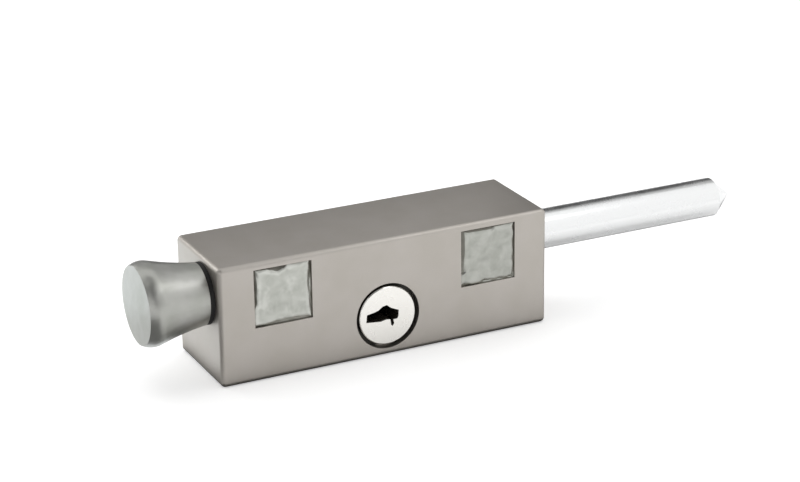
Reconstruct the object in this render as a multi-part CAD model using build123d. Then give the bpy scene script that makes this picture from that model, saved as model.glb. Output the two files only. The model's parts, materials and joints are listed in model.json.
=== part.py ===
from build123d import *
import math
import os

# Patio door bolt, in millimetres. The origin is the middle of the face that lies on the door.
# +X points out of the bolt's free end, +Y into the door and +Z up. The bolt is shown thrown.

# Body
body_length = 87.0
body_depth = 26.0
body_height = 30.0
front_wall = 2.4
side_wall = 2.2
end_wall = 3.0
edge_round = 1.2
rim_round = 0.35
cavity_round = 1.5

# Bolt
bolt_radius = 5.0
bolt_inset = 9.6
bolt_drop = 9.0
bolt_reach = 54.0
bolt_point = 5.3
bolt_point_radius = 0.4
bolt_travel = 17.0
bolt_fit = 0.05
grease_groove_width = 0.6
grease_groove_depth = 0.3
groove_in_body = 0.1

# Knob, whose stations are distances from its neck
buffer_thickness = 1.2
buffer_radius = 7.55
knob_neck_radius = 7.6
knob_neck_slope = 0.11
knob_waist_station = 3.8
knob_waist_radius = 8.15
knob_flare_station = 8.6
knob_flare_radius = 9.2
knob_shoulder_station = 11.6
knob_shoulder_radius = 10.05
knob_shoulder_slope = 0.29
knob_rim_station = 13.4
knob_rim_radius = 10.25
knob_face_radius = 9.55
knob_length = 15.6
knob_dome = 0.35
knob_centre_radius = 1.0
stud_radius = 2.5
stud_in_knob = 9.0
stud_in_rod = 9.0

# Bushes and seal
bush_radius = 7.5
bush_length = 5.5
bush_boss_wall = 1.5
bush_chamfer = 0.3
seal_section = 1.5
seal_from_face = 2.6

# Lock cylinder
cylinder_shift = -0.1
cylinder_rise = 10.2
cylinder_radius = 7.42
cylinder_hole_radius = 8.38
cylinder_recess = 0.25
plug_radius = 6.45
plug_fit = 0.05
plug_head_thickness = 1.1
plug_head_chamfer = 0.2
collar_radius = 9.2
collar_thickness = 1.0
pin_count = 5
pin_pitch = 2.6
pin_radius = 1.1
pin_fit = 0.05
first_pin_from_collar = 3.4
key_pin_inner = 3.2
key_pin_chamfer = 0.5
plug_chamber_start = 2.0
driver_pin_length = 2.6
pin_box_reach = 12.6
pin_box_half_height = 2.6
pin_box_from_collar = 1.2
pin_box_end_wall = 0.7
cover_strip_thickness = 0.6
tumbler_wire_radius = 0.14
tumbler_coils = 5
keyway_depth = 16.5

# Lock cam and locking slide
cam_radius = 7.4
cam_thickness = 1.4
cam_quarter = math.pi / 2
cam_slot_stations = 9
cam_slot_margin = 0.06
peg_radius = 0.9
peg_fit = 0.15
peg_start = 3.6
peg_end_gap = 0.2
lock_lift = 2.0
slide_thickness = 1.5
slide_gap = 0.3
slide_fit = 0.1
slide_past_peg = 2.0
guide_rib = 2.2
tooth_width = 4.0
tooth_length = 8.0
arm_over_peg = 1.3
arm_under_peg = 1.0
tooth_root = 2.8
circlip_land = 0.6
circlip_thickness = 0.8
circlip_inner = 5.7
circlip_outer = 7.1
circlip_mouth = 4.8
end_float = 0.05
tail_radius = 2.0
tail_flat = 1.4
cam_screw_head_radius = 2.2
cam_screw_head_height = 1.1
cam_screw_radius = 1.0
cam_screw_length = 5.0

# Screw windows and their covers
window_width = 14.8
window_height = 14.6
window_pitch = 54.4
window_ledge = 1.1
cover_thickness = 1.2
cover_gap = 0.2
cover_recess = 0.1
cover_chamfer = 0.25
cover_plug_depth = 2.6
cover_plug_gap = 0.05

# Fixing
fixing_radius = 2.25
fixing_boss_radius = 3.6
screw_head_room = 3.4
back_plate_thickness = 2.0
back_plate_gap = 0.1
plate_screw_radius = 1.25
plate_screw_head_radius = 2.4
plate_screw_length = 8.0
corner_post = 5.4
upper_post_depth = 8.6

# Cylinder keeper
keeper_thickness = 0.9
keeper_screw_radius = 1.0
keeper_screw_head = 1.9
keeper_screw_head_height = 1.1
keeper_screw_length = 3.0
keeper_post_radius = 2.0
keeper_screw_x = 9.8
keeper_screw_drop = 5.7
keeper_half_width = 12.0
keeper_top = 5.3

# Travel stop and friction pad
stop_screw_x = 18.5
stop_screw_radius = 2.5
stop_point_radius = 1.75
stop_point_length = 3.0
stop_screw_recess = 0.6
stop_socket_radius = 1.4
stop_socket_depth = 2.0
stop_post_radius = 3.5
pad_x = -12.0
pad_radius = 2.2
pad_length = 2.75
pad_fit = 0.05
pad_web_half = 3.2
pad_spring_length = 2.6
pad_spring_wire = 0.25
pad_spring_coils = 3
pad_grub_length = 1.9
grub_socket_radius = 1.2
grub_socket_depth = 1.2

# Cross recesses in screw heads, as shares of the head's radius
recess_depth_share = 0.3
recess_reach_share = 0.57
recess_width_share = 0.2

# Clearances, the depth to which ribs and bosses run into their wall, and how far cuts run past a face
touch_gap = 0.1
clear_gap = 0.3
bite = 0.5
past = 1.0

# Planes and axes that the pieces share
half_length = body_length / 2
front_y = -body_depth
top_z = body_height / 2
bottom_z = -body_height / 2
inner_front_y = front_y + front_wall
inner_half = half_length - end_wall
inner_top = top_z - side_wall
inner_bottom = bottom_z + side_wall
bolt_y = front_y + bolt_inset
bolt_z = top_z - bolt_drop
bolt_back_y = bolt_y + bolt_radius
bolt_bottom_z = bolt_z - bolt_radius
bush_inner_x = half_length - bush_length
bolt_start_x = -half_length - buffer_thickness
bolt_full_x = half_length + bolt_reach
cylinder_x = cylinder_shift
cylinder_z = bottom_z + cylinder_rise
window_x = window_pitch / 2

plate_front_y = -back_plate_thickness
slide_back_y = plate_front_y - slide_gap
slide_front_y = slide_back_y - slide_thickness
cam_back_y = slide_front_y - slide_gap
cam_front_y = cam_back_y - cam_thickness
circlip_back_y = cam_front_y - circlip_land
circlip_front_y = circlip_back_y - circlip_thickness
shell_back_y = circlip_front_y - end_float
plug_face_y = front_y + cylinder_recess
plug_head_y = plug_face_y + plug_head_thickness
shell_front_y = plug_head_y + end_float
collar_back_y = inner_front_y + collar_thickness
keeper_back_y = collar_back_y + keeper_thickness
pin_y = [collar_back_y + first_pin_from_collar + i * pin_pitch for i in range(pin_count)]
pin_box_y = (collar_back_y + pin_box_from_collar, pin_y[-1] + pin_radius + pin_box_end_wall)
pin_box_z = (cylinder_z - pin_box_half_height, cylinder_z + pin_box_half_height)
pin_box_end_x = cylinder_x + pin_box_reach
driver_start_x = cylinder_x + plug_radius + 2 * plug_fit

# The bar's flat starts where the barrel below it has fallen clear of the full bar
barrel_top_z = cylinder_z + cylinder_radius
bar_over_barrel = bolt_bottom_z - clear_gap - cylinder_z
barrel_half_chord = math.sqrt(max(cylinder_radius**2 - bar_over_barrel**2, 0))
flat_z = max(bolt_bottom_z + lock_lift, barrel_top_z + clear_gap)
flat_start_x = cylinder_x - barrel_half_chord - clear_gap
flat_end_x = stop_screw_x + stop_point_radius + bolt_travel + touch_gap
tooth_start_x = flat_start_x - bolt_travel + slide_fit
tooth_end_x = tooth_start_x + tooth_width
tooth_top_z = bolt_bottom_z - clear_gap
peg_z = cylinder_z + peg_start
arm_top_z = peg_z + arm_over_peg
arm_bottom_z = peg_z - arm_under_peg
slide_bottom_z = arm_bottom_z - tooth_root
fixing_boss_y = bolt_back_y + screw_head_room
pad_end_y = bolt_back_y + pad_fit + pad_length
pad_spring_end_y = pad_end_y + pad_spring_length
pad_grub_end_y = pad_spring_end_y + pad_grub_length


def block(x, y, z):
    """A box between two corners, given as a pair of values along each axis."""
    size = [high - low for low, high in (x, y, z)]
    middle = [(high + low) / 2 for low, high in (x, y, z)]
    return Pos(*middle) * Box(*size)


def bar_x(radius, start, end, y=bolt_y, z=bolt_z):
    return Pos((start + end) / 2, y, z) * Rot(0, 90, 0) * Cylinder(radius, end - start)


def bar_y(radius, start, end, x=cylinder_x, z=cylinder_z):
    return Pos(x, (start + end) / 2, z) * Rot(90, 0, 0) * Cylinder(radius, end - start)


def bar_z(radius, start, end, x, y):
    return Pos(x, y, (start + end) / 2) * Cylinder(radius, end - start)


def ring_y(inner, outer, start, end):
    return bar_y(outer, start, end) - bar_y(inner, start - past, end + past)


def cone_y(radius, end_radius, start, end, x, z):
    """A cone frustum along Y whose radius is given at both ends."""
    frustum = Cone(end_radius, radius, end - start)
    return Pos(x, (start + end) / 2, z) * Rot(90, 0, 0) * frustum


def hex_prism(radius, half_depth):
    return extrude(RegularPolygon(radius, 6), half_depth, both=True)


def coil(radius, wire, turns, length):
    """A helical spring along +Z from the origin, whose wire stays inside its length."""
    rise = length - 2 * wire
    path = Pos(0, 0, wire) * Helix(rise / turns, rise, radius)
    section = Plane(origin=path @ 0, z_dir=path % 0) * Circle(wire)
    return sweep(section, path=path, is_frenet=True)


def cross_recess(x, z, head_radius, y):
    """Two crossed slots in a screw head that faces +Y at the given y."""
    depth = recess_depth_share * head_radius
    reach = recess_reach_share * head_radius
    half = recess_width_share * head_radius / 2
    span = (y - depth, y + depth)
    across = block((x - reach, x + reach), span, (z - half, z + half))
    upright = block((x - half, x + half), span, (z - reach, z + reach))
    return across + upright


def corner_posts():
    """The four solid corners that carry the back plate, as (x, y, z) spans."""
    upper_y = (plate_front_y - upper_post_depth, plate_front_y)
    lower_y = (inner_front_y, plate_front_y)
    posts = []
    for side in (-1, 1):
        x = sorted((side * inner_half, side * (inner_half - corner_post)))
        posts.append((x, upper_y, (inner_top - corner_post, inner_top)))
        posts.append((x, lower_y, (inner_bottom, inner_bottom + corner_post)))
    return posts


def plate_screw_places():
    half = corner_post / 2
    x = inner_half - half
    return [(s * x, z) for s in (-1, 1) for z in (inner_top - half, inner_bottom + half)]


def keeper_screw_places():
    z = cylinder_z - keeper_screw_drop
    return [(cylinder_x + side * keeper_screw_x, z) for side in (-1, 1)]


def body_block():
    body = block((-half_length, half_length), (front_y, 0), (bottom_z, top_z))
    front_edges = [edge for edge in body.edges() if edge.center().Y < -rim_round]
    body = fillet(front_edges, edge_round)
    back_edges = body.faces().sort_by(Axis.Y)[-1].edges()
    return fillet(back_edges, rim_round)


def cavity():
    space = block((-inner_half, inner_half), (inner_front_y, past), (inner_bottom, inner_top))
    return fillet(space.edges().filter_by(Axis.Y), cavity_round)


def bush_boss(side):
    half = bush_radius + bush_boss_wall
    x = sorted((side * (inner_half + bite), side * bush_inner_x))
    y = (inner_front_y - bite, min(bolt_y + half, plate_front_y))
    return block(x, y, (bolt_z - half, inner_top + bite))


def fixing_boss(side):
    x = side * window_x
    y = (fixing_boss_y, plate_front_y)
    foot = bar_y(fixing_boss_radius, *y, x, bolt_z)
    web = block((x - fixing_boss_radius, x + fixing_boss_radius), y, (bolt_z, inner_top + bite))
    return foot + web


def slide_guides():
    """Two ribs that guide the locking tooth up and down."""
    y = (inner_front_y - bite, slide_front_y - slide_gap)
    z = (inner_bottom - bite, tooth_top_z - clear_gap)
    left = tooth_start_x - slide_fit
    right = tooth_end_x + slide_fit
    return block((left - guide_rib, left), y, z) + block((right, right + guide_rib), y, z)


def pad_web():
    """The web under the top wall that holds the friction pad, its spring and its screw."""
    x = (pad_x - pad_web_half, pad_x + pad_web_half)
    y = (bolt_back_y + 2 * clear_gap, pad_grub_end_y)
    return block(x, y, (bolt_z - pad_web_half, inner_top + bite))


def stop_post():
    return bar_z(stop_post_radius, inner_bottom - bite, bolt_bottom_z - clear_gap, stop_screw_x, bolt_y)


def keeper_posts():
    start = inner_front_y - bite
    places = keeper_screw_places()
    return [bar_y(keeper_post_radius, start, collar_back_y, x, z) for x, z in places]


def window(x, width, height, y_start, y_end):
    half_x, half_z = width / 2, height / 2
    return block((x - half_x, x + half_x), (y_start, y_end), (bolt_z - half_z, bolt_z + half_z))


def window_opening(side):
    """The square seat of a screw cover, and the narrower opening behind its ledge."""
    x = side * window_x
    width = window_width - 2 * window_ledge
    height = window_height - 2 * window_ledge
    seat = window(x, window_width, window_height, front_y - past, front_y + cover_thickness)
    return seat + window(x, width, height, front_y, inner_front_y + past)


def housing_holes():
    holes = bar_x(bush_radius, -half_length - past, -bush_inner_x)
    holes += bar_x(bush_radius, bush_inner_x, half_length + past)
    holes += bar_y(cylinder_hole_radius, front_y - past, inner_front_y)
    for side in (-1, 1):
        holes += window_opening(side)
        holes += bar_y(fixing_radius, fixing_boss_y - past, 0, side * window_x, bolt_z)
    for x, z in plate_screw_places():
        holes += bar_y(plate_screw_radius, -plate_screw_length, 0, x, z)
    for x, z in keeper_screw_places():
        holes += bar_y(keeper_screw_radius, keeper_back_y - keeper_screw_length, 0, x, z)
    holes += bar_z(stop_screw_radius, bottom_z - past, bolt_bottom_z, stop_screw_x, bolt_y)
    holes += bar_y(pad_radius + pad_fit, bolt_y, 0, pad_x, bolt_z)
    return holes


def housing():
    shell = body_block() - cavity()
    for post in corner_posts():
        shell += block(*post)
    for side in (-1, 1):
        shell += bush_boss(side) + fixing_boss(side)
    shell += slide_guides() + pad_web() + stop_post()
    for post in keeper_posts():
        shell += post
    return shell - housing_holes()


def back_plate():
    half_x = inner_half - back_plate_gap
    z = (inner_bottom + back_plate_gap, inner_top - back_plate_gap)
    plate = block((-half_x, half_x), (plate_front_y, 0), z)
    plate = fillet(plate.edges().filter_by(Axis.Y), cavity_round)
    for side in (-1, 1):
        plate -= bar_y(fixing_radius, plate_front_y - past, past, side * window_x, bolt_z)
    for x, z in plate_screw_places():
        plate -= plate_screw_blank(x, z) + bar_y(plate_screw_head_radius, 0, past, x, z)
    return plate


def plate_screw_blank(x, z):
    """The screw's outline, whose countersunk head lies flush with the door face."""
    depth = plate_screw_head_radius - plate_screw_radius
    head = cone_y(plate_screw_radius, plate_screw_head_radius, -depth, 0, x, z)
    return head + bar_y(plate_screw_radius, -plate_screw_length, -depth / 2, x, z)


def back_plate_screws():
    screws = []
    for x, z in plate_screw_places():
        screws.append(plate_screw_blank(x, z) - cross_recess(x, z, plate_screw_head_radius, 0))
    return screws


def bush(side):
    x = sorted((side * bush_inner_x, side * half_length))
    body = bar_x(bush_radius, *x) - bar_x(bolt_radius + bolt_fit, x[0] - past, x[1] + past)
    edges = body.edges().filter_by(GeomType.CIRCLE)
    bore_edges = [edge for edge in edges if edge.radius < bush_radius - bolt_fit]
    return chamfer(bore_edges, bush_chamfer)


def rear_bush():
    return bush(-1)


def nose_bush():
    return bush(1) - seal_ring(touch_gap / 2)


def seal_ring(extra=0.0):
    radius = seal_section / 2
    x = half_length - seal_from_face
    ring = Torus(bolt_radius + bolt_fit + radius, radius + extra)
    return Pos(x, bolt_y, bolt_z) * Rot(0, 90, 0) * ring


def nose_seal():
    return seal_ring()


def screw_cover(side):
    """A plate that fills the window, with a plug behind it that reaches through the ledge."""
    x = side * window_x
    gap = 2 * cover_gap
    slack = 2 * (window_ledge + cover_plug_gap)
    plate_y = (front_y + cover_recess, front_y + cover_thickness)
    plug_y = (front_y + cover_thickness / 2, front_y + cover_plug_depth)
    plate = window(x, window_width - gap, window_height - gap, *plate_y)
    plate = chamfer(plate.faces().sort_by(Axis.Y)[0].edges(), cover_chamfer)
    return plate + window(x, window_width - slack, window_height - slack, *plug_y)


def screw_cover_left():
    return screw_cover(-1)


def screw_cover_right():
    return screw_cover(1)


def cylinder_shell():
    """The barrel, its collar behind the front wall and the box of its pins."""
    barrel = bar_y(cylinder_radius, shell_front_y, shell_back_y)
    collar = bar_y(collar_radius, inner_front_y, collar_back_y)
    reach = collar_radius + past
    room_z = (inner_bottom + touch_gap / 2, cylinder_z + reach)
    room = block((cylinder_x - reach, cylinder_x + reach), (front_y, 0), room_z)
    box = block((cylinder_x, pin_box_end_x), pin_box_y, pin_box_z)
    shell = barrel + (collar & room) + box
    shell -= bar_y(plug_radius + plug_fit, shell_front_y - past, shell_back_y + past)
    for y in pin_y:
        shell -= bar_x(pin_radius + pin_fit, cylinder_x, pin_box_end_x + past, y, cylinder_z)
    return shell


def tumbler_cover_strip():
    return block((pin_box_end_x, pin_box_end_x + cover_strip_thickness), pin_box_y, pin_box_z)


def driver_pins():
    end = driver_start_x + driver_pin_length
    return [bar_x(pin_radius, driver_start_x, end, y, cylinder_z) for y in pin_y]


def tumbler_springs():
    start = driver_start_x + driver_pin_length
    radius = pin_radius - tumbler_wire_radius - pin_fit
    spring = coil(radius, tumbler_wire_radius, tumbler_coils, pin_box_end_x - start)
    return [Pos(start, y, cylinder_z) * Rot(0, 90, 0) * spring for y in pin_y]


def key_pins():
    start = cylinder_x + key_pin_inner
    end = cylinder_x + plug_radius - 3 * plug_fit
    pins = []
    for y in pin_y:
        pin = bar_x(pin_radius, start, end, y, cylinder_z)
        tip = pin.edges().filter_by(GeomType.CIRCLE).sort_by(Axis.X)[0]
        pins.append(chamfer(tip, key_pin_chamfer))
    return pins


def cylinder_keeper():
    """The forked plate that holds the collar against the front wall."""
    x = (cylinder_x - keeper_half_width, cylinder_x + keeper_half_width)
    y = (collar_back_y, keeper_back_y)
    cut_y = (y[0] - past, y[1] + past)
    plate = block(x, y, (inner_bottom + touch_gap, cylinder_z + keeper_top))
    slot = cylinder_radius + touch_gap
    plate -= bar_y(slot, *cut_y)
    plate -= block((cylinder_x - slot, cylinder_x + slot), cut_y, (cylinder_z, top_z))
    for screw_x, screw_z in keeper_screw_places():
        plate -= bar_y(keeper_screw_radius, *cut_y, screw_x, screw_z)
    return plate


def cylinder_keeper_screws():
    head_end = keeper_back_y + keeper_screw_head_height
    screws = []
    for x, z in keeper_screw_places():
        screw = bar_y(keeper_screw_radius, keeper_back_y - keeper_screw_length, keeper_back_y, x, z)
        screw += bar_y(keeper_screw_head, keeper_back_y, head_end, x, z)
        screws.append(screw - cross_recess(x, z, keeper_screw_head, head_end))
    return screws


def friction_pad():
    pad = bar_y(pad_radius, bolt_y, pad_end_y, pad_x, bolt_z)
    half = pad_radius + past
    return pad - bar_x(bolt_radius + pad_fit, pad_x - half, pad_x + half)


def friction_spring():
    radius = pad_radius - pad_spring_wire - pad_fit
    spring = coil(radius, pad_spring_wire, pad_spring_coils, pad_spring_length)
    return Pos(pad_x, pad_end_y, bolt_z) * Rot(-90, 0, 0) * spring


def friction_grub_screw():
    screw = bar_y(pad_radius + pad_fit, pad_spring_end_y, pad_grub_end_y, pad_x, bolt_z)
    socket = hex_prism(grub_socket_radius, grub_socket_depth)
    return screw - Pos(pad_x, pad_grub_end_y, bolt_z) * Rot(90, 0, 0) * socket


def travel_stop_screw():
    """A set screw from below, whose point stands in the flat under the bar."""
    start = bottom_z + stop_screw_recess
    end = flat_z - touch_gap
    shoulder = end - stop_point_length
    screw = bar_z(stop_screw_radius, start, shoulder, stop_screw_x, bolt_y)
    screw += bar_z(stop_point_radius, shoulder, end, stop_screw_x, bolt_y)
    socket = hex_prism(stop_socket_radius, stop_socket_depth)
    return screw - Pos(stop_screw_x, bolt_y, start) * socket


def bolt_rod():
    rod = bar_x(bolt_radius, bolt_start_x, bolt_full_x)
    point = Cone(bolt_radius, bolt_point_radius, bolt_point)
    rod += Pos(bolt_full_x + bolt_point / 2, bolt_y, bolt_z) * Rot(0, 90, 0) * point
    across = (bolt_y - bolt_radius - past, bolt_y + bolt_radius + past)
    under = (bolt_bottom_z - past, flat_z)
    rod -= block((flat_start_x, flat_end_x), across, under)
    rod -= block((tooth_start_x - slide_fit, tooth_end_x + slide_fit), across, under)
    groove = half_length - groove_in_body
    ring = bar_x(bolt_radius + past, groove, groove + grease_groove_width)
    ring -= bar_x(bolt_radius - grease_groove_depth, bolt_start_x, bolt_full_x)
    rod -= ring
    return rod - bar_x(stud_radius, bolt_start_x - past, bolt_start_x + stud_in_rod)


def knob_profile():
    """Half of the knob's section, with X as the distance from its neck towards its face."""
    shoulder = (knob_shoulder_station, knob_shoulder_radius)
    neck = Spline(
        (0, knob_neck_radius),
        (knob_waist_station, knob_waist_radius),
        (knob_flare_station, knob_flare_radius),
        shoulder,
        tangents=((1, knob_neck_slope), (1, knob_shoulder_slope)),
    )
    face = (knob_length, knob_face_radius)
    lip = ThreePointArc(shoulder, (knob_rim_station, knob_rim_radius), face)
    dome_radius = (knob_face_radius**2 + knob_dome**2) / (2 * knob_dome)
    half_angle = math.degrees(math.asin(knob_face_radius / dome_radius))
    centre_angle = math.degrees(math.asin(knob_centre_radius / dome_radius))
    dome_middle = knob_length + knob_dome - dome_radius
    dome = CenterArc((dome_middle, 0), dome_radius, centre_angle, half_angle - centre_angle)
    centre = dome @ 0
    flat = Line(centre, (centre.X, 0))
    axis = Line((centre.X, 0), (0, 0))
    base = Line((0, 0), (0, knob_neck_radius))
    return Face(Wire([neck, lip, dome, flat, axis, base]))


def knob():
    solid = revolve(knob_profile(), Axis.X)
    solid = Pos(bolt_start_x, bolt_y, bolt_z) * Rot(0, 0, 180) * solid
    return solid - bar_x(stud_radius, bolt_start_x - stud_in_knob, bolt_start_x + past)


def knob_buffer():
    ring = bar_x(buffer_radius, bolt_start_x, -half_length)
    return ring - bar_x(bolt_radius, bolt_start_x - past, half_length)


def knob_stud():
    return bar_x(stud_radius, bolt_start_x - stud_in_knob, bolt_start_x + stud_in_rod)


def keyway():
    """The key's slot, open at the plug's face, whose warded side points to +X."""
    outline = [
        (-5.7, -0.9), (-5.5, 1.1), (-3.6, 1.4), (-2.4, 1.75), (-1.3, 2.55), (-0.15, 2.75), (0.9, 1.85),
        (3.0, 0.9), (2.9, -0.65), (2.6, -1.25), (1.5, -1.35), (1.75, -2.3), (1.3, -3.0), (0.9, -2.6),
        (0.7, -1.15), (-0.3, -1.0), (-1.9, -1.3), (-3.8, -1.1),
    ]
    origin = (cylinder_x, plug_face_y - past, cylinder_z)
    plane = Plane(origin=origin, x_dir=(1, 0, 0), z_dir=(0, -1, 0))
    face = make_face(Polyline(*outline, close=True))
    return extrude(plane * face, -(keyway_depth + past))


def plug_tail():
    """The flatted boss that turns the cam."""
    boss = bar_y(tail_radius, cam_front_y, cam_back_y)
    far = tail_radius + past
    beyond_flat = (cylinder_x + tail_flat, cylinder_x + far)
    return boss - block(beyond_flat, (cam_front_y, cam_back_y), (cylinder_z - far, cylinder_z + far))


def cylinder_plug():
    head = bar_y(cylinder_radius, plug_face_y, plug_head_y)
    head = chamfer(head.faces().sort_by(Axis.Y)[0].edges(), plug_head_chamfer)
    plug = head + bar_y(plug_radius, plug_head_y, cam_front_y)
    plug -= ring_y(circlip_inner, plug_radius + past, circlip_front_y, circlip_back_y)
    plug += plug_tail()
    plug -= keyway()
    chamber_x = (cylinder_x + plug_chamber_start, cylinder_x + plug_radius + past)
    for y in pin_y:
        plug -= bar_x(pin_radius + pin_fit, *chamber_x, y, cylinder_z)
    return plug - bar_y(cam_screw_radius, cam_back_y - cam_screw_length, 0)


def plug_circlip():
    ring = ring_y(circlip_inner, circlip_outer, circlip_front_y, circlip_back_y)
    half = circlip_mouth / 2
    below = (cylinder_z - circlip_outer - past, cylinder_z)
    return ring - block((cylinder_x - half, cylinder_x + half), (front_y, 0), below)


def spiral_slot():
    """The cam's slot: its radius grows evenly with the angle, so the slide rises evenly with the turn."""
    rate = lock_lift / cam_quarter
    half = peg_radius + peg_fit
    step = (cam_quarter + 2 * cam_slot_margin) / (cam_slot_stations - 1)
    angles = [i * step - cam_slot_margin for i in range(cam_slot_stations)]

    def point(angle, offset):
        radius = peg_start + rate * angle + offset
        return (-radius * math.sin(angle), radius * math.cos(angle))

    inner = Spline(*[point(a, -half) for a in angles])
    outer = Spline(*[point(a, half) for a in angles])
    first = Line(inner @ 0, outer @ 0)
    last = Line(inner @ 1, outer @ 1)
    strip = make_face(inner + outer + first + last)
    ends = [Pos(*point(a, 0)) * Circle(half) for a in (angles[0], angles[-1])]
    return strip + ends[0] + ends[1]


def lock_cam():
    cam = bar_y(cam_radius, cam_front_y, cam_back_y) - plug_tail()
    origin = (cylinder_x, cam_front_y - past, cylinder_z)
    plane = Plane(origin=origin, x_dir=(1, 0, 0), z_dir=(0, -1, 0))
    return cam - extrude(plane * spiral_slot(), -(cam_thickness + 2 * past))


def cam_screw():
    screw = bar_y(cam_screw_radius, cam_back_y - cam_screw_length, cam_back_y)
    head_end = cam_back_y + cam_screw_head_height
    screw += bar_y(cam_screw_head_radius, cam_back_y, head_end)
    return screw - cross_recess(cylinder_x, cylinder_z, cam_screw_head_radius, head_end)


def locking_slide():
    """The plate behind the cam, and the arm that carries the tooth forward under the bolt."""
    x = (tooth_start_x, tooth_end_x)
    tooth_y = (bolt_y - tooth_length / 2, bolt_y + tooth_length / 2)
    plate_x = (tooth_start_x, cylinder_x + slide_past_peg)
    slide = block(x, tooth_y, (slide_bottom_z, tooth_top_z))
    slide += block(x, (tooth_y[0], slide_back_y), (slide_bottom_z, arm_top_z))
    slide += block(plate_x, (slide_front_y, slide_back_y), (arm_bottom_z, arm_top_z))
    return slide - bar_y(peg_radius, slide_front_y - past, 0, cylinder_x, peg_z)


def follower_peg():
    return bar_y(peg_radius, cam_front_y + peg_end_gap, slide_back_y, cylinder_x, peg_z)


nodes = [
    housing, back_plate, back_plate_screws, rear_bush, nose_bush, nose_seal,
    screw_cover_left, screw_cover_right,
    cylinder_shell, cylinder_keeper, cylinder_keeper_screws,
    driver_pins, tumbler_springs, tumbler_cover_strip,
    friction_pad, friction_spring, friction_grub_screw, travel_stop_screw,
    bolt_rod, knob, knob_buffer, knob_stud,
    cylinder_plug, key_pins, plug_circlip, lock_cam, cam_screw,
    locking_slide, follower_peg,
]

os.makedirs("parts", exist_ok=True)
for node in nodes:
    shape = node()
    if isinstance(shape, list):
        shape = Compound(children=shape)
    export_step(shape, f"parts/{node.__name__}.step")
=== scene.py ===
import json
import math

import bpy
import bmesh
from mathutils import Matrix, Vector, noise


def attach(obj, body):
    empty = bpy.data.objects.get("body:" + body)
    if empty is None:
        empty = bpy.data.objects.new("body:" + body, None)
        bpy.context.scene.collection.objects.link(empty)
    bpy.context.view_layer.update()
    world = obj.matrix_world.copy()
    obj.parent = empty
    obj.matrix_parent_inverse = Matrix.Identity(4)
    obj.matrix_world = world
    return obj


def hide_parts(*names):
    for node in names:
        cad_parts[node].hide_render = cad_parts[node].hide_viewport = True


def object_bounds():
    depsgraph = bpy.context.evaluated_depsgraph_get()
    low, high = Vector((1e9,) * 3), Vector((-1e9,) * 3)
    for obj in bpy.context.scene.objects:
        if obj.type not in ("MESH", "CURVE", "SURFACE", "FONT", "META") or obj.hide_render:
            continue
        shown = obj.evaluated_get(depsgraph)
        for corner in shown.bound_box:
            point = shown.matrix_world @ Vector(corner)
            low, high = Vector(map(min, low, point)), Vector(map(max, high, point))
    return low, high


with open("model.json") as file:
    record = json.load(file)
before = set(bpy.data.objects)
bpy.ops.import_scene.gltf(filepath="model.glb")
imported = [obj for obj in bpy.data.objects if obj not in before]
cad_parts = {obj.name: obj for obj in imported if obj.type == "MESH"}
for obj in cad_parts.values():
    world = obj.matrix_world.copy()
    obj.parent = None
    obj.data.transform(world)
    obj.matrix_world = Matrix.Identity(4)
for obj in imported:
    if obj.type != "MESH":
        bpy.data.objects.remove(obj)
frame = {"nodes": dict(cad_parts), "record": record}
cad_low, cad_high = [list(corner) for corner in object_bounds()]

MM = 0.001

# The photograph's width, and the camera that took it
IMAGE_WIDTH = 800
SENSOR_WIDTH = 36.0
FOCAL_PIXELS = 2342.5
CAMERA_AZIMUTH = -25.84
CAMERA_ELEVATION = 20.90
CAMERA_ROLL = -0.83
CAMERA_PLACE = (-224.33 * MM, -496.18 * MM, 213.36 * MM)
CAMERA_CLIP = (0.01, 20.0)


def add_object(name, data):
    piece = bpy.data.objects.new(name, data)
    bpy.context.scene.collection.objects.link(piece)
    return piece


def add_camera():
    data = bpy.data.cameras.new("camera")
    data.sensor_width = SENSOR_WIDTH
    data.lens = FOCAL_PIXELS / IMAGE_WIDTH * SENSOR_WIDTH
    data.clip_start, data.clip_end = CAMERA_CLIP
    camera = add_object("camera", data)
    turn = Matrix.Rotation(math.radians(CAMERA_AZIMUTH), 4, "Z")
    tilt = Matrix.Rotation(math.radians(90 - CAMERA_ELEVATION), 4, "X")
    roll = Matrix.Rotation(math.radians(CAMERA_ROLL), 4, "Z")
    camera.matrix_world = Matrix.Translation(CAMERA_PLACE) @ turn @ tilt @ roll
    bpy.context.scene.camera = camera


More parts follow.
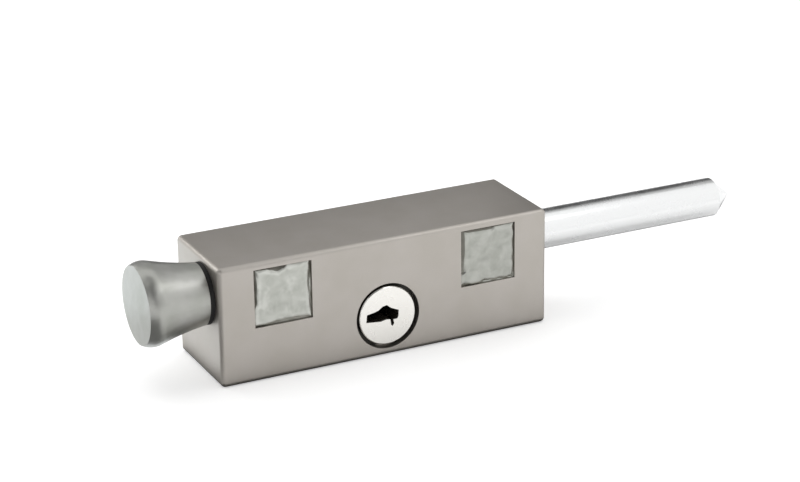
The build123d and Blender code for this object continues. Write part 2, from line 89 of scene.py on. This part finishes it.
class Graph:
    """A short way to write a node tree, where an input is a node, one of its outputs or a plain value."""

    def __init__(self, tree):
        self.tree = tree
        tree.nodes.clear()

    def add(self, kind, inputs=None, **settings):
        node = self.tree.nodes.new(kind)
        for key, value in settings.items():
            setattr(node, key, value)
        for key, value in (inputs or {}).items():
            self.put(node.inputs[key], value)
        return node

    def put(self, socket, value):
        if isinstance(value, bpy.types.NodeSocket):
            self.tree.links.new(value, socket)
        elif isinstance(value, bpy.types.Node):
            self.tree.links.new(value.outputs[0], socket)
        else:
            socket.default_value = value

    def place(self, scale=(1, 1, 1)):
        """The piece's own coordinates, in millimetres times the scale."""
        coordinates = self.add("ShaderNodeTexCoord").outputs["Object"]
        size = [part / MM for part in scale]
        return self.add("ShaderNodeMapping", {"Vector": coordinates, "Scale": size})

    def noise(self, where, scale, detail, **inputs):
        inputs.update({"Vector": where, "Scale": scale, "Detail": detail})
        return self.add("ShaderNodeTexNoise", inputs)

    def layer(self, name):
        """A float layer of the mesh's vertices."""
        return self.add("ShaderNodeAttribute", attribute_name=name).outputs["Fac"]

    def math(self, operation, *values, clamp=False):
        return self.add("ShaderNodeMath", dict(enumerate(values)), operation=operation, use_clamp=clamp)

    def total(self, *parts):
        """The sum of several values, each times its share."""
        last = None
        for value, share in parts:
            node = self.math("MULTIPLY", value, share)
            last = node if last is None else self.math("ADD", last, node)
        return last

    def ramp(self, value, low, high, out_low=0.0, out_high=1.0):
        inputs = {"Value": value, "From Min": low, "From Max": high, "To Min": out_low, "To Max": out_high}
        return self.add("ShaderNodeMapRange", inputs)

    def mixed(self, share, first, second):
        node = self.add("ShaderNodeMix", data_type="RGBA")
        self.put(node.inputs["Factor"], share)
        self.put(node.inputs["A"], first)
        self.put(node.inputs["B"], second)
        return node.outputs["Result"]

    def bump(self, height, depth, strength=1.0, **inputs):
        """Bumps that are up to a depth in millimetres high."""
        inputs.update({"Height": height, "Distance": depth * MM, "Strength": strength})
        return self.add("ShaderNodeBump", inputs)

    def coat(self, colour, roughness, metallic, **inputs):
        """Gives the material its surface."""
        inputs.update({"Base Color": colour, "Roughness": roughness, "Metallic": metallic})
        shader = self.add("ShaderNodeBsdfPrincipled", inputs)
        self.add("ShaderNodeOutputMaterial", {"Surface": shader})


def new_material(name):
    made = bpy.data.materials.new(name)
    made.use_nodes = True
    return made, Graph(made.node_tree)


def srgb(*levels):
    """A colour from 0 to 255 levels as the picture shows them, as the linear values that a shader takes."""
    linear = []
    for level in levels:
        part = level / 255
        linear.append(part / 12.92 if part <= 0.04045 else ((part + 0.055) / 1.055) ** 2.4)
    return (*linear, 1.0)


def grey(level):
    return (level, level, level, 1.0)


# The values of a noise texture between which a ramp runs
NARROW_BAND = (0.35, 0.65)
WIDE_BAND = (0.3, 0.7)

# Satin metal: its fine grain, the clouds in its colour, its waviness and the spread of its roughness
GRAIN_SCALE = 5.0
GRAIN_STRENGTH = 0.35
CLOUD_SCALE = 0.12
WAVE_SCALE = 0.28
SATIN_SPREAD = 0.04

# Turned metal: rings that lie close along the lathe's axis and run far round it, and smears
RING_SCALE = 3.0
RING_STRETCH = 0.02
RING_DEPTH = 0.004
RING_STRENGTH = 0.3
SMEAR_SCALE = 0.25
SMEAR_SPREAD = 0.2

# The depth in the keyway, as a Y in millimetres, beyond which the plug is painted dark and non-metallic as
# shade, and the length over which that painted shade fades in
KEYWAY_SHADE_FROM = -25.3
KEYWAY_SHADE_FADE = 0.35

# The grain of moulded parts
MOULD_SCALE = 3.0
MOULD_DEPTH = 0.02
MOULD_STRENGTH = 0.25

# Hammered metal: patches in its colour, scuffs, scratches, and painted shade in its gaps that also carries
# a tarnish tone
PATCH_SCALE = 0.35
PATCH_WARP = 0.6
PATCH_SHARE = 0.55
SCUFF_SCALE = 1.3
SCUFF_DEPTH = 0.035
SCUFF_STRENGTH = 0.4
SCRATCH_SCALE = (0.5, 1, 5.0)
SCRATCH_SHARE = 0.35
HAMMERED_ROUGHNESS = (0.30, 0.42)
# The dark colour of the painted gap shade, which the tarnish tone also mixes towards
GAP_SHADE_AND_TARNISH_COLOUR = srgb(106, 104, 97)

# The two layers of a cover's vertices, from 0 to 1
POLISH = "polish"
GAP_SHADE_AND_TARNISH = "gap_shade_and_tarnish"


def smeared(graph, roughness):
    """A roughness that faint smears raise and lower."""
    smears = graph.noise(graph.place(), SMEAR_SCALE, detail=3.0)
    return graph.ramp(smears, *WIDE_BAND, roughness * (1 - SMEAR_SPREAD), roughness * (1 + SMEAR_SPREAD))


def satin_metal(name, colour, dark, roughness, grain=0.02, wave=0.0):
    """Blasted and plated metal: a fine even grain, faint clouds in the colour and a slight waviness."""
    made, graph = new_material(name)
    where = graph.place()
    grains = graph.noise(where, GRAIN_SCALE, detail=2.0, Roughness=0.6)
    clouds = graph.noise(where, CLOUD_SCALE, detail=3.0, Roughness=0.5)
    base = graph.mixed(graph.ramp(clouds, *NARROW_BAND), dark, colour)
    rough = graph.ramp(grains, *WIDE_BAND, roughness - SATIN_SPREAD, roughness + SATIN_SPREAD)
    relief = graph.bump(grains, grain, GRAIN_STRENGTH)
    if wave:
        waves = graph.noise(where, WAVE_SCALE, detail=1.0)
        relief = graph.bump(waves, wave, Normal=relief)
    graph.coat(base, rough, 1.0, Normal=relief)
    return made


def turned_metal(name, colour, roughness, axis="X"):
    """Bright or satin metal off a lathe, with fine rings about one axis."""
    made, graph = new_material(name)
    scale = [RING_SCALE if letter == axis else RING_STRETCH for letter in "XYZ"]
    rings = graph.noise(graph.place(scale), 1.0, detail=2.0)
    relief = graph.bump(rings, RING_DEPTH, RING_STRENGTH)
    graph.coat(colour, smeared(graph, roughness), 1.0, Normal=relief)
    return made


def plug_with_keyway_shade(name, colour, keyway_shade, roughness):
    """A bright chrome face, and a dark, non-metallic colour painted in the keyway beyond a depth as its
    shade.
    """
    made, graph = new_material(name)
    where = graph.add("ShaderNodeTexCoord").outputs["Object"]
    depth = graph.add("ShaderNodeSeparateXYZ", {"Vector": where}).outputs["Y"]
    shaded = graph.ramp(depth, (KEYWAY_SHADE_FROM - KEYWAY_SHADE_FADE) * MM, KEYWAY_SHADE_FROM * MM)
    unshaded = graph.ramp(shaded, 0.0, 1.0, 1.0, 0.0)
    graph.coat(graph.mixed(shaded, colour, keyway_shade), smeared(graph, roughness), unshaded)
    return made


def moulded(name, colour, roughness):
    """Black nylon or rubber with a faint moulded grain."""
    made, graph = new_material(name)
    grains = graph.noise(graph.place(), MOULD_SCALE, detail=3.0)
    relief = graph.bump(grains, MOULD_DEPTH, MOULD_STRENGTH)
    graph.coat(colour, roughness, 0.0, Normal=relief)
    return made


def hammered_metal(name, colour, dark):
    """Soft metal that was tapped into its seat: scuffed in the dents, polished on the high spots, and
    painted dark as shade in its gaps.
    """
    made, graph = new_material(name)
    where = graph.place()
    patches = graph.noise(where, PATCH_SCALE, detail=2.0, Distortion=PATCH_WARP)
    scuffs = graph.noise(where, SCUFF_SCALE, detail=4.0, Roughness=0.55)
    scratches = graph.noise(graph.place(SCRATCH_SCALE), 1.0, detail=3.0)
    share = graph.math("MULTIPLY", graph.ramp(patches, *NARROW_BAND), PATCH_SHARE)
    share = graph.math("ADD", share, graph.layer(POLISH), clamp=True)
    clean = graph.mixed(share, dark, colour)
    # Painted shade in the gaps and along the upper and left edges, and the tarnish tone, darken the colour
    # from one layer
    base = graph.mixed(graph.layer(GAP_SHADE_AND_TARNISH), clean, GAP_SHADE_AND_TARNISH_COLOUR)
    rough = graph.ramp(scuffs, *WIDE_BAND, *HAMMERED_ROUGHNESS)
    height = graph.total((scuffs, 1.0), (scratches, SCRATCH_SHARE))
    relief = graph.bump(height, SCUFF_DEPTH, SCUFF_STRENGTH)
    graph.coat(base, rough, 1.0, Normal=relief)
    return made


# What each material slot of the record looks like: one or two colours, and a roughness
FINISHES = {
    "satin_nickel": satin_metal("satin_nickel", srgb(190, 185, 179), srgb(186, 181, 174), 0.46),
    "satin_knob": satin_metal(
        "satin_knob",
        srgb(184, 184, 180),
        srgb(174, 175, 169),
        0.38,
        grain=0.003,
        wave=0.16,
    ),
    "cover_metal": hammered_metal("cover_metal", srgb(204, 205, 199), srgb(178, 180, 173)),
    # The plug's keyway is painted dark as shade beyond a depth
    "cylinder_chrome": plug_with_keyway_shade("cylinder_chrome", srgb(250, 248, 243), srgb(48, 44, 38), 0.26),
    "chrome": turned_metal("chrome", srgb(239, 240, 240), 0.26),
    "dark_steel": turned_metal("dark_steel", srgb(66, 65, 62), 0.45, axis="Y"),
    "brass": turned_metal("brass", srgb(205, 176, 112), 0.3),
    "zinc_steel": satin_metal("zinc_steel", srgb(196, 197, 198), srgb(190, 191, 193), 0.36),
    "spring_steel": turned_metal("spring_steel", srgb(150, 150, 152), 0.3),
    "black_nylon": moulded("black_nylon", srgb(26, 26, 26), 0.5),
    "rubber": moulded("rubber", srgb(16, 16, 16), 0.65),
}

# The key pins are of brass too, but are painted dark as shade, since they stand deep in the keyway
KEY_PINS_PAINTED_DARK = turned_metal("key_pins_painted_dark", srgb(70, 60, 44), 0.5)


def paint_nodes():
    for row in frame["record"]["subparts"]:
        node = frame["nodes"][row["node"]]
        node.data.materials.clear()
        finish = KEY_PINS_PAINTED_DARK if row["node"] == "key_pins" else FINISHES[row["material_slot"]]
        node.data.materials.append(finish)


# The covers' seats and shape, in millimetres. A side slopes out from the face's edge to the window's wall,
# and meets it deeper at the upper and left edges.
WINDOW_X = 27.2
WINDOW_Z = 6.0
WINDOW_HALF = (7.4, 7.3)
COVER_FRONT_Y = -25.88
SIDE_Y = -25.48
UP_LEFT_SIDE_Y = -25.05
SIDE_GAP = 0.03
COVER_BACK_Y = -24.8
TAIL_HALF = (6.25, 6.15)
TAIL_END_Y = -23.4
COVER_CELLS = 84
SHARP_ANGLE = 50

# Painted shade along the upper and left edges of a cover's face, where its gaps run deep
EDGE_SHADE = 0.9

# The rim that was rolled down, and how far its width and depth waver
RIM_WIDTH = 1.0
RIM_DROP = 0.36
WAVER_SCALE = 0.5
WAVER_IN_WIDTH = 0.5
WAVER_IN_DROP = 0.8

# The hammer marks, and the low swells between them
DENT_DEPTH = 0.14
DENT_FALLOFF = 2.2
SWELL_DEPTH = 0.12
SWELL_SCALE = 0.33
SWELL_SEED = 7
SMALL_SWELL_SHARE = 0.45
SMALL_SWELL_SEED = 3

# The polish of a band inside the rim, whose middle lies a little way from the edge, and of the swells' tops
BAND_POLISH = 0.45
BAND_PLACE = 0.7
BAND_WIDTH = 0.5
SWELL_POLISH = 1.1

# Each cover's gaps beside its edges are pairs of a place along the edge, from -1 to 1, and millimetres. Its
# larger dents are (across, up, radius, share of DENT_DEPTH), in millimetres from its middle.
LEFT_COVER = {
    "left": [(-1, 0.10), (-0.45, 0.08), (-0.2, 0.70), (0.6, 0.80), (1, 0.60)],
    "right": [(-1, 0.30), (-0.3, 0.42), (0.1, 0.55), (0.6, 0.45), (1, 0.35)],
    "top": [(-1, 0.30), (-0.6, 0.36), (-0.42, 0.80), (-0.2, 1.30), (0.02, 0.85), (0.18, 0.06), (1, 0.02)],
    "bottom": [(-1, 0.30), (-0.5, 0.30), (-0.2, 0.55), (0.3, 0.62), (0.8, 0.50), (1, 0.40)],
    "dents": [
        (-3.4, 3.6, 2.8, 0.5), (1.2, 4.4, 2.4, 0.3), (4.9, 2.9, 2.5, 0.6), (-4.6, -0.6, 2.4, 0.4),
        (-0.8, 0.4, 3.0, 0.5), (3.2, -1.2, 2.6, 0.4), (-2.2, -4.2, 2.6, 0.6), (0.9, -3.5, 1.7, 1.2),
        (4.8, -4.4, 2.3, 0.6), (-5.4, -4.6, 1.8, 0.4),
    ],
    "seed": 1.3,
    "shine": 1.0,
    "tarnish": 0.0,
}
RIGHT_COVER = {
    "left": [(-1, 0.03), (-0.62, 0.0), (-0.5, 1.10), (-0.4, 0.90), (0.4, 1.20), (1, 1.10)],
    "right": [(-1, 0.20), (-0.4, 0.22), (0.3, 0.25), (0.7, 0.12), (1, 0.04)],
    "top": [(-1, 0.50), (-0.8, 0.80), (0.05, 0.85), (0.25, 0.35), (0.7, 0.40), (1, 0.10)],
    "bottom": [
        (-1, 0.50), (-0.72, 0.50), (-0.6, 0.15), (-0.3, 0.15),
        (-0.12, 0.45), (0.12, 0.40), (0.3, 0.25), (1, 0.25),
    ],
    "dents": [
        (-3.2, 2.0, 2.0, 1.5), (0.9, 3.0, 1.9, 1.4), (4.6, 4.2, 2.4, 0.9), (-5.0, -0.4, 1.7, 1.2),
        (-0.2, -1.9, 1.9, 1.7), (3.3, 0.7, 2.0, 1.3), (-3.4, -4.1, 2.3, 0.9), (1.6, -4.9, 1.8, 0.8),
        (4.9, -2.6, 2.0, 1.1), (-4.6, 5.2, 1.6, 0.8),
    ],
    "seed": 5.9,
    "shine": 0.4,
    "tarnish": 0.2,
}


def eased(pairs, at):
    """The value at a place between pairs of (place, value), with soft steps."""
    for (start, low), (end, high) in zip(pairs, pairs[1:]):
        if at <= end:
            share = (at - start) / (end - start)
            return low + (high - low) * share * share * (3 - 2 * share)
    return pairs[-1][1]


def cover_point(look, across, up):
    """A point of the hammered face, for a place from -1 to 1 each way, and how polished it is there."""
    seed = look["seed"]
    low_x = -WINDOW_HALF[0] + eased(look["left"], up)
    high_x = WINDOW_HALF[0] - eased(look["right"], up)
    low_z = -WINDOW_HALF[1] + eased(look["bottom"], across)
    high_z = WINDOW_HALF[1] - eased(look["top"], across)
    x = low_x + (high_x - low_x) * (across + 1) / 2
    z = low_z + (high_z - low_z) * (up + 1) / 2
    to_edge = min(x - low_x, high_x - x, z - low_z, high_z - z)
    waver = noise.noise(Vector((x * WAVER_SCALE, z * WAVER_SCALE, seed)))
    rim = max(0.0, 1 - to_edge / (RIM_WIDTH * (1 + WAVER_IN_WIDTH * waver)))
    drop = RIM_DROP * rim * rim * (1 + WAVER_IN_DROP * waver)
    for dent_x, dent_z, radius, share in look["dents"]:
        far = ((x - dent_x) ** 2 + (z - dent_z) ** 2) / radius**2
        drop += DENT_DEPTH * share * math.exp(-DENT_FALLOFF * far)
    swell = noise.noise(Vector((x * SWELL_SCALE, z * SWELL_SCALE, seed + SWELL_SEED)))
    swell += SMALL_SWELL_SHARE * noise.noise(Vector((x, z, seed + SMALL_SWELL_SEED)))
    drop += SWELL_DEPTH * (1 + swell) / 2
    from_band = (to_edge - BAND_PLACE) / BAND_WIDTH
    polish = BAND_POLISH * math.exp(-(from_band**2)) + max(0.0, -SWELL_POLISH * swell)
    return x, drop, z, min(1.0, polish)


def grid_place(cell):
    """The place of a grid line of a cover, from -1 to 1."""
    return 2 * cell / COVER_CELLS - 1


def up_left(column, row):
    """1 along a cover's upper and left edges, 0 along the others, mixed at the corners between."""
    return min(1.0, max(0.0, 0.5 + (row - column) / COVER_CELLS))


def outline():
    """The columns and rows of a cover's outline, once round."""
    end = COVER_CELLS
    ring = [(column, 0) for column in range(end)] + [(end, row) for row in range(end)]
    ring += [(column, end) for column in range(end, 0, -1)]
    return ring + [(0, row) for row in range(end, 0, -1)]


def add_face(builder, corner, look):
    """The hammered face, and its corners as rows from the bottom up."""
    at_edge = (0, COVER_CELLS)
    rows = []
    for row in range(COVER_CELLS + 1):
        corners = []
        for column in range(COVER_CELLS + 1):
            x, drop, z, polish = cover_point(look, grid_place(column), grid_place(row))
            # The face takes the cover's tarnish tone, and its outline is painted dark as shade along the
            # upper and left edges
            gap_shade_and_tarnish = look["tarnish"]
            if column in at_edge or row in at_edge:
                gap_shade_and_tarnish = EDGE_SHADE * up_left(column, row)
            corners.append(corner(x, COVER_FRONT_Y + drop, z, polish * look["shine"], gap_shade_and_tarnish))
        rows.append(corners)
    for low, high in zip(rows, rows[1:]):
        for i in range(COVER_CELLS):
            builder.faces.new((low[i], low[i + 1], high[i + 1], high[i]))
    return rows


def add_sides(builder, corner, rows):
    """The sides, in two bands from the face's outline to the back, and the back."""
    half_x, half_z = (half - SIDE_GAP for half in WINDOW_HALF)
    ring = outline()
    above = [rows[row][column] for column, row in ring]
    for to_back in (False, True):
        below = []
        for column, row in ring:
            y = SIDE_Y + (UP_LEFT_SIDE_Y - SIDE_Y) * up_left(column, row)
            if to_back:
                y = COVER_BACK_Y
            # The sides keep the corner's default: painted fully dark as shade in the gap
            below.append(corner(grid_place(column) * half_x, y, grid_place(row) * half_z))
        for at in range(len(ring)):
            builder.faces.new((above[at - 1], below[at - 1], below[at], above[at]))
        above = below
    builder.faces.new(above)


def add_tail(builder, middle_x):
    """The square plug behind a cover, which fills the window's narrower opening."""
    depth = TAIL_END_Y - COVER_BACK_Y
    size = Vector((2 * TAIL_HALF[0], depth, 2 * TAIL_HALF[1])) * MM
    middle = Vector((middle_x, COVER_BACK_Y + depth / 2, WINDOW_Z)) * MM
    for vert in bmesh.ops.create_cube(builder, size=1.0)["verts"]:
        vert.co = Vector((vert.co.x * size.x, vert.co.y * size.y, vert.co.z * size.z)) + middle


def add_cover(name, middle_x, look):
    """One hammered square cover, with its rolled rim, its sides and the square tail that holds it."""
    builder = bmesh.new()
    polish_layer = builder.verts.layers.float.new(POLISH)
    gap_shade_and_tarnish_layer = builder.verts.layers.float.new(GAP_SHADE_AND_TARNISH)

    # A corner is painted fully dark as gap shade unless it is given another value
    def corner(x, y, z, polish=0.0, gap_shade_and_tarnish=1.0):
        vert = builder.verts.new(((middle_x + x) * MM, y * MM, (WINDOW_Z + z) * MM))
        vert[polish_layer] = polish
        vert[gap_shade_and_tarnish_layer] = gap_shade_and_tarnish
        return vert

    rows = add_face(builder, corner, look)
    add_sides(builder, corner, rows)
    add_tail(builder, middle_x)
    bmesh.ops.recalc_face_normals(builder, faces=builder.faces)
    data = bpy.data.meshes.new(name)
    builder.to_mesh(data)
    builder.free()
    data.shade_smooth()
    data.set_sharp_from_angle(angle=math.radians(SHARP_ANGLE))
    data.materials.append(FINISHES["cover_metal"])
    cover = add_object(name, data)
    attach(cover, "body")
    return cover


def add_covers():
    left = add_cover("hammered_cover_left", -WINDOW_X, LEFT_COVER)
    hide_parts("screw_cover_left")
    right = add_cover("hammered_cover_right", WINDOW_X, RIGHT_COVER)
    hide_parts("screw_cover_right")


# The floor, and the outline of the body that stands over it
FLOOR_HALF = 3.0
FLOOR_DROP = 0.03 * MM
FLOOR_COLOUR = grey(0.86)
BODY_LOW = (-43.5 * MM, -26.0 * MM)
BODY_HIGH = (43.5 * MM, 0.0)

# How much the floor glows for the camera, near the object and far from it, and for reflections, where the
# glow fades towards the object as painted shade
FLOOR_LIFT = 0.42
FLOOR_FAR_LIFT = 0.60
FLOOR_FAR_REACH = (0.25, 1.2)
FLOOR_GLOSS_LIFT = 0.37
FLOOR_SHADE_REACH = (0.002, 0.070)
FLOOR_SHADE_POWER = 0.38

# Painted contact shade at the body's foot: a dark floor colour which only reflections see
FLOOR_CONTACT_REACH = (0.0, 0.003)
FLOOR_CONTACT_SHADE_COLOUR = grey(0.10)

# The hole in the floor under the body, whose edge lies a little way in from the body's outline
FLOOR_HOLE_INSET = 1.4 * MM
FLOOR_HOLE_EDGE = 0.01 * MM

# The room's brightness for diffuse light, and for the camera and reflections
WORLD_LEVEL = 0.52
WORLD_GLOSS_LEVEL = 1.06
WHITE = (1, 1, 1)

# What a card or a lamp faces: the frame's origin, straight up, to the front, or else a point of its own
ORIGIN = (0, 0, 0)
UP = "up"
UP_HEIGHT = 1.0
FRONT = "front"

# The lamps: name, place, size and power
LAMPS = [
    ("soft_top", (0.05, 0.22, 0.90), (1.2, 1.0), 4.2),
    ("soft_left", (-0.55, 0.75, 0.28), (0.5, 0.45), 2.4),
]

# The cards that only reflections see: name, place, size, brightness, what it faces, and tint
CARDS = [
    ("dark_back", (0.35, 0.66, 0.60), (1.9, 0.66), 0.47, ORIGIN, WHITE),
    ("dark_behind", (0.06, 0.062, 0.026), (0.26, 0.026), 0.12, FRONT, WHITE),
    ("grey_over", (0.88, 0.20, 0.58), (0.5, 0.5), 0.5, ORIGIN, WHITE),
    ("dark_front", (-0.15, -0.44, 0.70), (0.62, 1.10), 0.22, ORIGIN, WHITE),
    ("grey_left", (-0.82, -0.12, 0.50), (1.0, 0.9), 0.35, ORIGIN, WHITE),
    ("dark_left", (-0.0885, -0.055, -0.0145), (0.073, 0.090), 0.22, UP, WHITE),
    ("bright_edge", (0.080, -0.081, 0.142), (0.084, 0.042), 2.6, (0.023, -0.026, 0.015), WHITE),
    ("bright_left", (-0.36, 0.80, 0.36), (0.26, 0.26), 4.0, ORIGIN, WHITE),
    ("floor_behind", (0.09, 0.03, -0.0145), (0.10, 0.08), 0.35, UP, WHITE),
    ("dark_horizon", (0.008, 0.05, 0.010), (0.075, 0.03), 0.08, FRONT, WHITE),
    ("dark_rod", (0.125, 0.064, 0.070), (0.08, 0.085), 0.08, FRONT, WHITE),
    ("grey_knob", (0.005, -0.150, 0.060), (0.09, 0.05), 0.6, (-0.05, -0.02, 0.008), WHITE),
    ("dark_knob", (-0.064, -0.168, 0.054), (0.058, 0.046), 0.2, (-0.052, -0.026, 0.008), WHITE),
    ("floor_near_left", (-0.0543, 0.002, -0.0143), (0.0145, 0.040), 1.25, UP, (0.97, 1.0, 1.02)),
    ("floor_mid_left", (-0.130, 0.011, -0.0144), (0.137, 0.028), 0.93, UP, (0.98, 1.0, 1.0)),
    ("floor_left", (-0.287, 0.290, -0.0145), (0.48, 0.53), 1.33, UP, (0.96, 1.0, 1.02)),
]


def add_rectangle(name, half_x, half_y, z=0.0):
    corners = [(-half_x, -half_y, z), (half_x, -half_y, z), (half_x, half_y, z), (-half_x, half_y, z)]
    data = bpy.data.meshes.new(name)
    data.from_pydata(corners, [], [(0, 1, 2, 3)])
    return add_object(name, data)


def away_from(graph, box_low, box_high):
    """How far a point of the floor lies outside a box."""
    position = graph.add("ShaderNodeNewGeometry").outputs["Position"]
    parts = graph.add("ShaderNodeSeparateXYZ", {"Vector": position}).outputs
    squares = []
    for axis in range(2):
        middle = (box_low[axis] + box_high[axis]) / 2
        half = (box_high[axis] - box_low[axis]) / 2
        offset = graph.math("ABSOLUTE", graph.math("SUBTRACT", parts[axis], middle))
        outside = graph.math("MAXIMUM", graph.math("SUBTRACT", offset, half), 0.0)
        squares.append(graph.math("POWER", outside, 2.0))
    return graph.math("POWER", graph.math("ADD", *squares), 0.5)


def floor_diffuse(graph, glossy):
    """White, but painted dark as contact shade for reflections at the body's foot."""
    near = graph.ramp(away_from(graph, BODY_LOW, BODY_HIGH), *FLOOR_CONTACT_REACH, 1.0, 0.0)
    colour = graph.mixed(graph.math("MULTIPLY", glossy, near), FLOOR_COLOUR, FLOOR_CONTACT_SHADE_COLOUR)
    return graph.add("ShaderNodeBsdfDiffuse", {"Color": colour})


def floor_glow(graph, path):
    """The light that makes the floor as white as the photograph's ground, by the kind of ray."""
    away = away_from(graph, cad_low, cad_high)
    far = graph.ramp(away, *FLOOR_FAR_REACH, FLOOR_LIFT, FLOOR_FAR_LIFT)
    seen = graph.math("MULTIPLY", path["Is Camera Ray"], far)
    # For reflections the glow fades towards the object, as painted shade
    shade = graph.math("POWER", graph.ramp(away, *FLOOR_SHADE_REACH), FLOOR_SHADE_POWER)
    reflected = graph.math("MULTIPLY", path["Is Glossy Ray"], shade)
    through = path["Is Transmission Ray"]
    lift = graph.total((seen, 1.0), (reflected, FLOOR_GLOSS_LIFT), (through, FLOOR_LIFT))
    return graph.add("ShaderNodeEmission", {"Color": (*WHITE, 1), "Strength": lift})


def floor_unseen(graph):
    """1 from below and under the body, 0 elsewhere."""
    hole_low = [part + FLOOR_HOLE_INSET for part in BODY_LOW]
    hole_high = [part - FLOOR_HOLE_INSET for part in BODY_HIGH]
    under = graph.math("LESS_THAN", away_from(graph, hole_low, hole_high), FLOOR_HOLE_EDGE)
    from_below = graph.add("ShaderNodeNewGeometry").outputs["Backfacing"]
    return graph.math("MAXIMUM", from_below, under)


def add_floor():
    """A plain white floor that keeps the object's shadow, and is clear from below and under the body."""
    floor = add_rectangle("floor", FLOOR_HALF, FLOOR_HALF, cad_low[2] - FLOOR_DROP)
    made, graph = new_material("floor")
    path = graph.add("ShaderNodeLightPath").outputs
    diffuse = floor_diffuse(graph, path["Is Glossy Ray"])
    surface = graph.add("ShaderNodeAddShader", {0: diffuse, 1: floor_glow(graph, path)})
    clear = graph.add("ShaderNodeBsdfTransparent")
    surface = graph.add("ShaderNodeMixShader", {0: floor_unseen(graph), 1: surface, 2: clear})
    graph.add("ShaderNodeOutputMaterial", {"Surface": surface})
    floor.data.materials.append(made)


def add_world():
    """A pale room for diffuse light, and white for the camera and for reflections."""
    world = bpy.data.worlds.new("studio")
    world.use_nodes = True
    bpy.context.scene.world = world
    graph = Graph(world.node_tree)
    path = graph.add("ShaderNodeLightPath").outputs
    more = WORLD_GLOSS_LEVEL - WORLD_LEVEL
    kinds = ("Is Camera Ray", "Is Glossy Ray", "Is Transmission Ray")
    extra = graph.total(*((path[kind], more) for kind in kinds))
    level = graph.math("ADD", extra, WORLD_LEVEL)
    room = graph.add("ShaderNodeBackground", {"Color": (*WHITE, 1), "Strength": level})
    graph.add("ShaderNodeOutputWorld", {"Surface": room})


def set_at(piece, place_at, faces):
    """Puts a card or a lamp in its place, turned to what it faces."""
    x, y, z = place_at
    target = {UP: (x, y, UP_HEIGHT), FRONT: (x, 0.0, z)}.get(faces, faces)
    piece.location = place_at
    toward = Vector(target) - Vector(place_at)
    piece.rotation_euler = toward.to_track_quat("-Z", "Y").to_euler()


def add_lamp(name, place_at, size, power):
    """A soft lamp that reflections don't see; the cards and the world stand in for it there."""
    data = bpy.data.lights.new(name, "AREA")
    data.shape = "RECTANGLE"
    data.size, data.size_y = size
    data.energy = power
    lamp = add_object(name, data)
    lamp.visible_glossy = False
    set_at(lamp, place_at, ORIGIN)


def add_card(name, place_at, size, level, faces, tint):
    """A studio card that only reflections see."""
    card = add_rectangle(name, size[0] / 2, size[1] / 2)
    set_at(card, place_at, faces)
    made, graph = new_material(name)
    light = graph.add("ShaderNodeEmission", {"Color": (*tint, 1), "Strength": level})
    graph.add("ShaderNodeOutputMaterial", {"Surface": light})
    card.data.materials.append(made)
    card.visible_camera = False
    card.visible_diffuse = False
    card.visible_shadow = False


def add_studio():
    add_floor()
    add_world()
    for lamp in LAMPS:
        add_lamp(*lamp)
    for card in CARDS:
        add_card(*card)


add_camera()
paint_nodes()
add_covers()
add_studio()
bpy.context.scene.view_settings.view_transform = "Standard"
